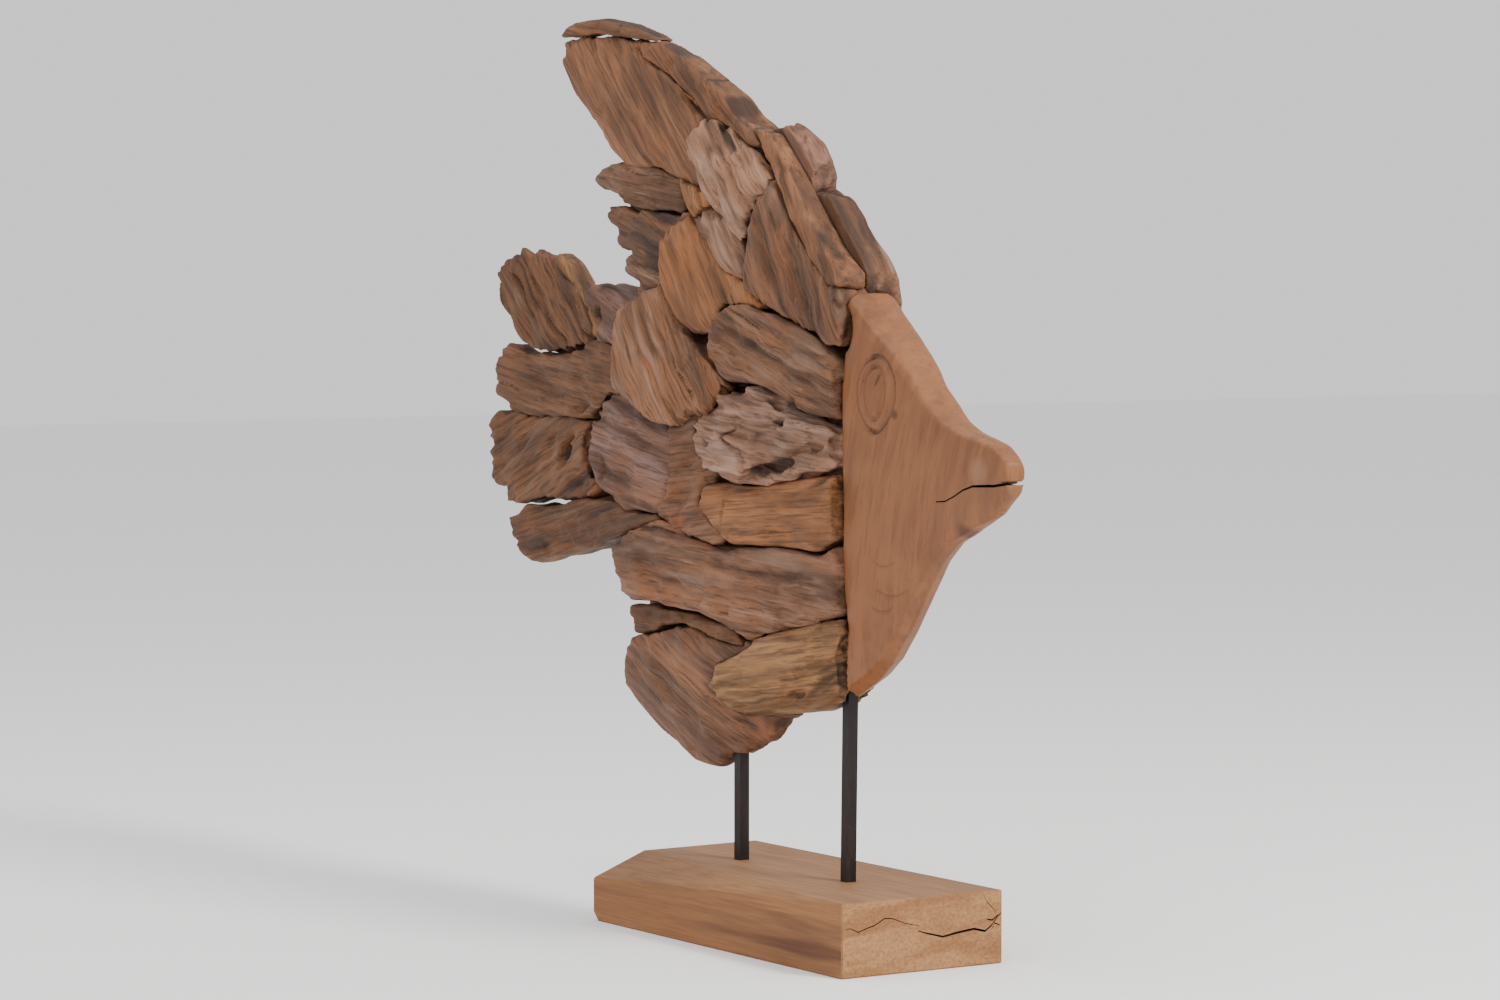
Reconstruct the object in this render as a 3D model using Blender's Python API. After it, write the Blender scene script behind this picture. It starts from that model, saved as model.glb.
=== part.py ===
"""A wooden fish pieced together from driftwood, on two steel bars and a wooden block.

Metres, +Z up. The fish looks along +X, its right side faces -Y, and the
origin is the centre of the block's underside.
"""
import math

import bmesh
import bpy
from mathutils import Vector
from mathutils.geometry import delaunay_2d_cdt

# The stand
BASE_LENGTH = 0.400
BASE_WIDTH = 0.170
BASE_HEIGHT = 0.065
WANE_DROP = 0.025          # how far the worn rear corner sinks below the top
WANE_REACH = 0.043         # how far the worn corner reaches in across the block
WANE_OVERHANG = 0.017      # the worn corner sticks out past the rear end
BASE_CHAMFER = 0.008
ARRIS = 0.0012
ROD_SIDE = 0.010
ROD_LEAN = 0.004           # the front bar leans forward by this much
BASE_SOCKET_DEPTH = 0.030
FISH_SOCKET_DEPTH = 0.035
SOCKET_CLEARANCE = 0.0004

# The fish
FISH_LENGTH = 0.900
FISH_HEIGHT = 0.700
FISH_CLEARANCE = 0.083     # from the block's top to the fish's lowest point
BODY_HALF = 0.037          # half of the body's thickness
TAIL_HALF = 0.017
KEEL_HALF = 0.010          # half of the thickness along the under edge
KEEL_TURN = 0.095          # the height over which the sides turn in to the under edge
FIN_HALF = 0.010           # half of the thickness at the top of the fin
WORN_EDGE = 0.0045         # how far a worn edge falls away
WORN_WIDTH = 0.0055
GLUE_GAP = 0.0005
SEAM_GAP = 0.0028          # the open joint behind the head

# The head
HEAD_LENGTH = 0.214
HEAD_HALF = 0.033
MOUTH_HALF = 0.009
SLIT_LENGTH = 0.100
SLIT_WIDTH = 0.0032
EYE_LENGTH = 0.049
EYE_HEIGHT = 0.062
EYE_GROOVE = 0.0050
EYE_DEPTH = 0.0028

FISH_BOTTOM = BASE_HEIGHT + FISH_CLEARANCE
SEAM_X = 0.1325 * FISH_LENGTH
SEAM_FOOT_X = 0.108 * FISH_LENGTH
FAR = 2.0 * FISH_LENGTH


def clear_scene():
    for thing in list(bpy.data.objects):
        bpy.data.objects.remove(thing, do_unlink=True)


def linear(channel):
    value = channel / 255.0
    return value / 12.92 if value <= 0.04045 else ((value + 0.055) / 1.055) ** 2.4


def principled(name, rgb, roughness, metallic=0.0):
    material = bpy.data.materials.new(name)
    material.use_nodes = True
    shader = material.node_tree.nodes["Principled BSDF"]
    colour = [linear(channel) for channel in rgb] + [1.0]
    shader.inputs["Base Color"].default_value = colour
    shader.inputs["Roughness"].default_value = roughness
    shader.inputs["Metallic"].default_value = metallic
    material.diffuse_color = colour
    return material


WOODS = {
    "tan": (170, 125, 90),
    "brown": (128, 90, 68),
    "dark": (98, 68, 52),
    "orange": (172, 116, 74),
    "grey": (146, 116, 102),
    "pale": (178, 140, 108),
}


def add_object(name, bm, material):
    mesh = bpy.data.meshes.new(name)
    bm.to_mesh(mesh)
    bm.free()
    obj = bpy.data.objects.new(name, mesh)
    bpy.context.scene.collection.objects.link(obj)
    if material:
        mesh.materials.append(material)
    return obj


def at(share_x, share_z):
    """A place on the fish, from hundredths of its length and height."""
    return share_x / 100.0 * FISH_LENGTH, FISH_BOTTOM + share_z / 100.0 * FISH_HEIGHT


def blend(value, low, high):
    t = min(1.0, max(0.0, (value - low) / (high - low)))
    return t * t * (3.0 - 2.0 * t)


def along(line, x):
    """The height of a line of (x, z) points, rising in x, at x."""
    for (x0, z0), (x1, z1) in zip(line, line[1:]):
        if x <= x1:
            t = max(0.0, (x - x0) / (x1 - x0))
            return z0 + (z1 - z0) * t
    return line[-1][1]


def keel_line():
    shares = [(-31, 9), (-17, 0.7), (-13, 0), (-3, 5.4), (10.8, 11.0), (20, 20)]
    return [at(*share) for share in shares]


def half_thickness(x, z):
    """Half of the fish's thickness: a lens that is thin at the tail, the fin and the keel."""
    share_x = x / FISH_LENGTH
    share_z = (z - FISH_BOTTOM) / FISH_HEIGHT
    body = TAIL_HALF + (BODY_HALF - TAIL_HALF) * blend(share_x, -0.50, -0.16)
    above = max(0.0, (share_z - 0.45) / 0.55)
    body += (FIN_HALF - body) * above ** 1.5
    if share_x > -0.33:
        rise = (z - along(keel_line(), x)) / KEEL_TURN
        turn = math.sqrt(min(1.0, max(0.0, rise)))
        body = KEEL_HALF + (body - KEEL_HALF) * turn
    return body


def polygon_area(points):
    pairs = zip(points, points[1:] + points[:1])
    return 0.5 * sum(a[0] * b[1] - b[0] * a[1] for a, b in pairs)


def counter_clockwise(points):
    return points if polygon_area(points) > 0.0 else points[::-1]


def worn_outline(shares, corner=0.08, longest=0.045):
    """The outline in metres, with each corner cut off and each long side divided."""
    corners = counter_clockwise([at(*share) for share in shares])
    cut = []
    count = len(corners)
    for i, (x, z) in enumerate(corners):
        for px, pz in (corners[i - 1], corners[(i + 1) % count]):
            cut.append((x + (px - x) * corner, z + (pz - z) * corner))
    points = []
    for (x0, z0), (x1, z1) in zip(cut, cut[1:] + cut[:1]):
        steps = max(1, math.ceil(math.hypot(x1 - x0, z1 - z0) / longest))
        for k in range(steps):
            points.append((x0 + (x1 - x0) * k / steps, z0 + (z1 - z0) * k / steps))
    return points


def moved_outward(points, distance):
    """The outline with each side moved outward, or inward where distance is negative."""
    moved = []
    count = len(points)
    for i, (x, z) in enumerate(points):
        before = Vector((x - points[i - 1][0], z - points[i - 1][1])).normalized()
        after = Vector((points[(i + 1) % count][0] - x, points[(i + 1) % count][1] - z)).normalized()
        normal = Vector((before.y + after.y, -before.x - after.x))
        normal = normal.normalized() if normal.length > 1e-6 else Vector((after.y, -after.x))
        stretch = max(0.5, normal.dot(Vector((after.y, -after.x))))
        moved.append((x + normal.x * distance / stretch, z + normal.y * distance / stretch))
    return moved


def inside(points, x, z):
    result = False
    for (x0, z0), (x1, z1) in zip(points, points[1:] + points[:1]):
        if (z0 > z) != (z1 > z) and x < x0 + (z - z0) * (x1 - x0) / (z1 - z0):
            result = not result
    return result


def edge_distance(points, x, z):
    nearest = FAR
    for (x0, z0), (x1, z1) in zip(points, points[1:] + points[:1]):
        dx, dz = x1 - x0, z1 - z0
        t = ((x - x0) * dx + (z - z0) * dz) / (dx * dx + dz * dz)
        t = min(1.0, max(0.0, t))
        nearest = min(nearest, math.hypot(x - x0 - t * dx, z - z0 - t * dz))
    return nearest


def triangulate(points, inner):
    ring = list(range(len(points)))
    sides = [(i, (i + 1) % len(points)) for i in ring]
    places = [Vector(point) for point in points + inner]
    found, _, faces, _, _, _ = delaunay_2d_cdt(places, sides, [ring], 1, 1e-7)
    return [tuple(place) for place in found], faces


def grain_rows(points, angle, row, step, margin):
    """Points inside the outline, in rows along the grain, with each one's row number."""
    along_grain = Vector((math.cos(angle), math.sin(angle)))
    across = Vector((-along_grain.y, along_grain.x))
    us = [Vector(p).dot(along_grain) for p in points]
    vs = [Vector(p).dot(across) for p in points]
    found = []
    rows = max(1, round((max(vs) - min(vs)) / row))
    for j in range(rows):
        v = min(vs) + (j + 0.5) * (max(vs) - min(vs)) / rows
        u = min(us) + step * (0.35 if j % 2 else 0.7)
        while u < max(us):
            place = along_grain * u + across * v
            clear = edge_distance(points, place.x, place.y) > margin
            if clear and inside(points, place.x, place.y):
                found.append(((place.x, place.y), j))
            u += step
    return found


class Plank:
    """One piece of driftwood, given by its outline in the side view.

    side is -1 for the fish's right, 1 for its left and 0 for a piece right
    through. back is where a one-sided piece starts, across the fish. lift
    raises the face above its neighbours, at the rear end and at the front.
    """

    def __init__(self, name, side, wood, outline, grain=0.0, lift=(0.0, 0.0),
                 crown=0.002, ridge=0.0, row=0.022, back=0.0, roughness=0.75):
        self.name = name
        self.side = side
        self.material = (wood, roughness)
        self.points = worn_outline(outline)
        self.grain = math.radians(grain)
        self.lift = lift
        self.crown = crown
        self.ridge = ridge
        self.row = row
        self.back = back

    def face(self, x, z, row_number=None, worn=0.0):
        xs = [point[0] for point in self.points]
        t = (x - min(xs)) / (max(xs) - min(xs))
        height = half_thickness(x, z) + self.lift[0] + (self.lift[1] - self.lift[0]) * t
        if row_number is not None:
            height += self.crown + (self.ridge if row_number % 2 else -self.ridge)
        least = 0.005 + abs(self.back) * 0.3
        return max(least, height - worn)

    def heights(self):
        """Every point of the face, as (x, z, height), and the triangles between them."""
        shoulder = moved_outward(self.points, -WORN_WIDTH)[::2]
        shoulder = [p for p in shoulder if inside(self.points, *p)
                    and edge_distance(self.points, *p) > 0.8 * WORN_WIDTH]
        rows = grain_rows(self.points, self.grain, self.row, 0.048, 1.9 * WORN_WIDTH)
        places, faces = triangulate(self.points, shoulder + [p for p, _ in rows])
        heights = []
        for x, z in places:
            near = [j for p, j in rows if math.hypot(p[0] - x, p[1] - z) < 1e-5]
            edge = edge_distance(self.points, x, z) < 0.5 * WORN_WIDTH
            if near:
                heights.append((x, z, self.face(x, z, row_number=near[0])))
            else:
                heights.append((x, z, self.face(x, z, worn=WORN_EDGE if edge else 0.0)))
        return heights, faces

    def build(self):
        heights, faces = self.heights()
        bm = bmesh.new()
        ring = {}
        sides = (-1, 1) if self.side == 0 else (self.side,)
        for side in sides:
            verts = [bm.verts.new((x, side * y, z)) for x, z, y in heights]
            for face in faces:
                bm.faces.new([verts[i] for i in face])
            ring[side] = self.match_ring(verts)
        if self.side:
            start = self.back if self.back else self.side * GLUE_GAP / 2.0
            flat, back_faces = triangulate(self.points, [])
            verts = [bm.verts.new((x, start, z)) for x, z in flat]
            for face in back_faces:
                bm.faces.new([verts[i] for i in face])
            ring[-self.side] = self.match_ring(verts)
        count = len(self.points)
        for i in range(count):
            j = (i + 1) % count
            bm.faces.new((ring[-1][i], ring[-1][j], ring[1][j], ring[1][i]))
        bmesh.ops.recalc_face_normals(bm, faces=bm.faces)
        wood, roughness = self.material
        material = principled(self.name + "_wood", WOODS[wood], roughness)
        return add_object(self.name, bm, material)

    def match_ring(self, verts):
        """The vertices that lie on the outline, in its order."""
        found = []
        for x, z in self.points:
            found.append(min(verts, key=lambda v: math.hypot(v.co.x - x, v.co.z - z)))
        return found

    def cutter(self):
        """The room that this piece takes, with the glue gap round it."""
        outline = moved_outward(self.points, GLUE_GAP)
        if self.side == 0:
            return prism(self.name + "_room", outline, -FAR, FAR)
        start = self.back - self.side * GLUE_GAP if self.back else 0.0
        return prism(self.name + "_room", outline, *sorted((start, self.side * FAR)))

    def box(self):
        xs = [point[0] for point in self.points]
        zs = [point[1] for point in self.points]
        return min(xs), max(xs), min(zs), max(zs)


def prism(name, outline, start, end):
    """A closed prism across the fish, from an outline of (x, z) points."""
    bm = bmesh.new()
    places, faces = triangulate(counter_clockwise(outline), [])
    near = [bm.verts.new((x, start, z)) for x, z in places]
    far = [bm.verts.new((x, end, z)) for x, z in places]
    for face in faces:
        bm.faces.new([near[i] for i in face])
        bm.faces.new([far[i] for i in reversed(face)])
    for edge in [e for e in bm.edges if e.is_boundary and e.verts[0] in near]:
        i, j = (near.index(v) for v in edge.verts)
        bm.faces.new((near[i], near[j], far[j], far[i]))
    bmesh.ops.recalc_face_normals(bm, faces=bm.faces)
    return add_object(name, bm, None)


def bar(name, foot, head, side, material):
    """A square bar from foot to head."""
    bm = bmesh.new()
    rings = []
    for end in (foot, head):
        corners = [(-1, -1), (1, -1), (1, 1), (-1, 1)]
        rings.append([bm.verts.new((end[0] + cx * side / 2, end[1] + cy * side / 2, end[2]))
                      for cx, cy in corners])
    for i in range(4):
        j = (i + 1) % 4
        bm.faces.new((rings[0][i], rings[0][j], rings[1][j], rings[1][i]))
    bm.faces.new(rings[0])
    bm.faces.new(rings[1])
    bmesh.ops.recalc_face_normals(bm, faces=bm.faces)
    return add_object(name, bm, material)


def cut(obj, cutters):
    """Take the cutters away from the object, and keep its largest part."""
    room = bpy.data.collections.new(obj.name + "_cutters")
    bpy.context.scene.collection.children.link(room)
    for cutter in cutters:
        room.objects.link(cutter)
    modifier = obj.modifiers.new("Cut", "BOOLEAN")
    modifier.operation = "DIFFERENCE"
    modifier.operand_type = "COLLECTION"
    modifier.collection = room
    modifier.solver = "EXACT"
    shape = obj.evaluated_get(bpy.context.evaluated_depsgraph_get())
    bm = bmesh.new()
    bm.from_mesh(shape.to_mesh())
    obj.modifiers.remove(modifier)
    bpy.data.collections.remove(room)
    keep_largest(bm)
    bmesh.ops.remove_doubles(bm, verts=bm.verts, dist=0.00002)
    bmesh.ops.dissolve_limit(bm, angle_limit=math.radians(1.0), verts=bm.verts, edges=bm.edges)
    bmesh.ops.triangulate(bm, faces=bm.faces)
    bm.to_mesh(obj.data)
    bm.free()


def keep_largest(bm):
    islands = []
    left = set(bm.faces)
    while left:
        stack = [left.pop()]
        island = [stack[0]]
        while stack:
            face = stack.pop()
            for edge in face.edges:
                for other in edge.link_faces:
                    if other in left:
                        left.discard(other)
                        island.append(other)
                        stack.append(other)
        islands.append(island)
    islands.sort(key=lambda island: sum(face.calc_area() for face in island))
    spare = [face for island in islands[:-1] for face in island]
    bmesh.ops.delete(bm, geom=spare, context="FACES")


def base_block():
    """The sawn block, with the worn facet along its near top edge and rear corner."""
    front, rear = BASE_LENGTH / 2, -BASE_LENGTH / 2
    near, far = -BASE_WIDTH / 2, BASE_WIDTH / 2
    low = BASE_HEIGHT - WANE_DROP
    end = rear - WANE_OVERHANG
    top = [(front, near, BASE_HEIGHT), (front, far, BASE_HEIGHT), (rear, far, BASE_HEIGHT),
           (rear + 0.01 * BASE_LENGTH, near + WANE_REACH, BASE_HEIGHT),
           (-0.25 * BASE_LENGTH, near + 0.78 * WANE_REACH, BASE_HEIGHT),
           (0.08 * BASE_LENGTH, near + 0.32 * WANE_REACH, BASE_HEIGHT)]
    worn = (end, near, low)
    floor = [(front, near, 0.0), (front, far, 0.0), (rear, far, 0.0),
             (end + BASE_CHAMFER, near, 0.0)]
    heel = (end, near, BASE_CHAMFER)
    bm = bmesh.new()
    place = {point: bm.verts.new(point) for point in top + floor + [worn, heel]}

    def add(*corners):
        bm.faces.new([place[corner] for corner in corners])

    add(*top)
    add(*floor)
    add(top[0], top[5], worn)
    add(top[5], top[4], worn)
    add(top[4], top[3], worn)
    add(top[0], worn, heel, floor[3], floor[0])
    add(top[0], floor[0], floor[1], top[1])
    add(top[1], floor[1], floor[2], top[2])
    add(top[3], top[2], floor[2])
    add(top[3], floor[2], heel)
    add(floor[2], floor[3], heel)
    add(top[3], heel, worn)
    bmesh.ops.recalc_face_normals(bm, faces=bm.faces)
    sawn = [edge for edge in bm.edges if edge.calc_face_angle(0.0) > math.radians(50)]
    bmesh.ops.bevel(bm, geom=sawn, offset=ARRIS, segments=1, affect="EDGES", clamp_overlap=True)
    return add_object("base", bm, principled("base_wood", (168, 124, 88), 0.7))


def head_profile(t):
    """The head's lower and upper edge and its half thickness, t of the way to the mouth."""
    upper = [(-0.16, 64.4), (0.0, 63.8), (0.08, 60.8), (0.22, 57.8), (0.37, 54.0), (0.47, 50.6),
             (0.60, 47.6), (0.72, 46.1), (0.84, 45.3), (0.94, 44.4), (1.0, 42.6)]
    lower = [(-0.16, 10.6), (0.0, 13.4), (0.10, 14.8), (0.22, 17.8), (0.30, 21.6), (0.42, 27.2),
             (0.55, 31.4), (0.68, 33.3), (0.82, 35.0), (0.92, 36.3), (1.0, 38.6)]
    width = [(-0.16, 0.9), (0.0, 0.9), (0.15, 0.82), (0.35, 0.6), (0.55, 0.4), (0.80, 0.18), (1.0, 0.0)]
    scale = FISH_HEIGHT / 100.0
    half = MOUTH_HALF + (HEAD_HALF - MOUTH_HALF) * along(width, t)
    return (FISH_BOTTOM + along(lower, t) * scale, FISH_BOTTOM + along(upper, t) * scale, half)


def head_block():
    """The head: upright sections, broad at the forehead and narrow under the chin."""
    section = [(0.0, 1.0), (0.55, 0.998), (0.80, 0.985), (0.93, 0.95), (1.0, 0.84), (1.04, 0.62),
               (1.03, 0.42), (0.93, 0.24), (0.74, 0.10), (0.48, 0.02), (0.0, 0.0)]
    stations = [-0.16, -0.04, 0.06, 0.16, 0.27, 0.38, 0.49, 0.60, 0.71, 0.82, 0.91, 0.97, 1.0]
    bm = bmesh.new()
    rings = []
    for t in stations:
        low, high, half = head_profile(t)
        x = SEAM_X + t * HEAD_LENGTH
        outline = section + [(-y, z) for y, z in section[-2:0:-1]]
        rings.append([bm.verts.new((x, y * half, low + z * (high - low))) for y, z in outline])
    for ring, following in zip(rings, rings[1:]):
        for i in range(len(ring)):
            j = (i + 1) % len(ring)
            bm.faces.new((ring[i], ring[j], following[j], following[i]))
    bm.faces.new(rings[0])
    bm.faces.new(rings[-1])
    bmesh.ops.recalc_face_normals(bm, faces=bm.faces)
    bmesh.ops.triangulate(bm, faces=bm.faces)
    return add_object("head", bm, principled("head_wood", (172, 126, 92), 0.6))


def seam_line(gap):
    """The joint behind the head, which slants back near the keel, as (x, z) points."""
    turn = at(0, 20.5)[1]
    return [(SEAM_X - gap, 2 * FISH_HEIGHT), (SEAM_X - gap, turn),
            (SEAM_FOOT_X - 2.4 * gap, at(0, 11.5)[1]), (SEAM_FOOT_X - 3.2 * gap, 0.0)]


def behind_the_seam():
    line = seam_line(0.0)
    return prism("behind_seam", [(-FAR, 2 * FISH_HEIGHT)] + line + [(-FAR, 0.0)], -FAR, FAR)


def before_the_seam():
    line = seam_line(SEAM_GAP)
    return prism("before_seam", [(FAR, 2 * FISH_HEIGHT)] + line + [(FAR, 0.0)], -FAR, FAR)


def eye_groove(side, share, name):
    """A four-sided ring round the eye, sunk to half its width in the cheek."""
    t = 0.195
    centre_x = SEAM_X + t * HEAD_LENGTH
    centre_z = at(0, 50.6)[1]
    bm = bmesh.new()
    rings = []
    count = 20
    for k in range(count):
        angle = 2 * math.pi * k / count
        x = centre_x + 0.5 * EYE_LENGTH * share[0] * math.cos(angle)
        point = 1.0 + 0.10 * max(0.0, -math.sin(angle)) ** 6
        z = centre_z + 0.5 * EYE_HEIGHT * share[1] * math.sin(angle) * point
        low, high, half = head_profile((x - SEAM_X) / HEAD_LENGTH)
        y = cheek(half, (z - low) / (high - low))
        out = Vector((math.cos(angle), 0.0, math.sin(angle)))
        ring = []
        for across, depth in ((-0.5, 1.0), (0.0, -1.0), (0.5, 1.0)):
            place = Vector((x, side * (y + depth * EYE_DEPTH), z)) + out * across * EYE_GROOVE * 2
            ring.append(bm.verts.new(place))
        rings.append(ring)
    for ring, following in zip(rings, rings[1:] + rings[:1]):
        for i in range(3):
            j = (i + 1) % 3
            bm.faces.new((ring[i], ring[j], following[j], following[i]))
    bmesh.ops.recalc_face_normals(bm, faces=bm.faces)
    return add_object(name, bm, None)


def cheek(half, share):
    """The half thickness of the head's section at a share of its height."""
    sides = [(0.10, 0.74), (0.24, 0.93), (0.42, 1.03), (0.62, 1.04), (0.84, 1.0), (0.95, 0.93)]
    return half * along(sides, share)


def mouth_slit():
    """The saw cut of the mouth, which droops and narrows toward its corner."""
    front = SEAM_X + HEAD_LENGTH
    lip = at(0, 40.4)[1]
    upper, lower = [], []
    for k in range(7):
        t = k / 6
        x = front + 0.01 - t * (SLIT_LENGTH + 0.01)
        z = lip - 0.19 * SLIT_LENGTH * t ** 1.8
        half = 0.5 * SLIT_WIDTH * (1.15 - 0.75 * t)
        upper.append((x, z + half))
        lower.append((x, z - half))
    return prism("slit", upper + lower[::-1], -FAR, FAR)


def notch():
    """The small hollow at the rear top edge of the head."""
    bm = bmesh.new()
    bmesh.ops.create_icosphere(bm, subdivisions=2, radius=1.0)
    x, z = SEAM_X - 0.001, at(0, 58.6)[1]
    for vert in bm.verts:
        vert.co = Vector((x + vert.co.x * 0.012, -HEAD_HALF + vert.co.y * 0.012, z + vert.co.z * 0.024))
    return add_object("notch", bm, None)


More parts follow.
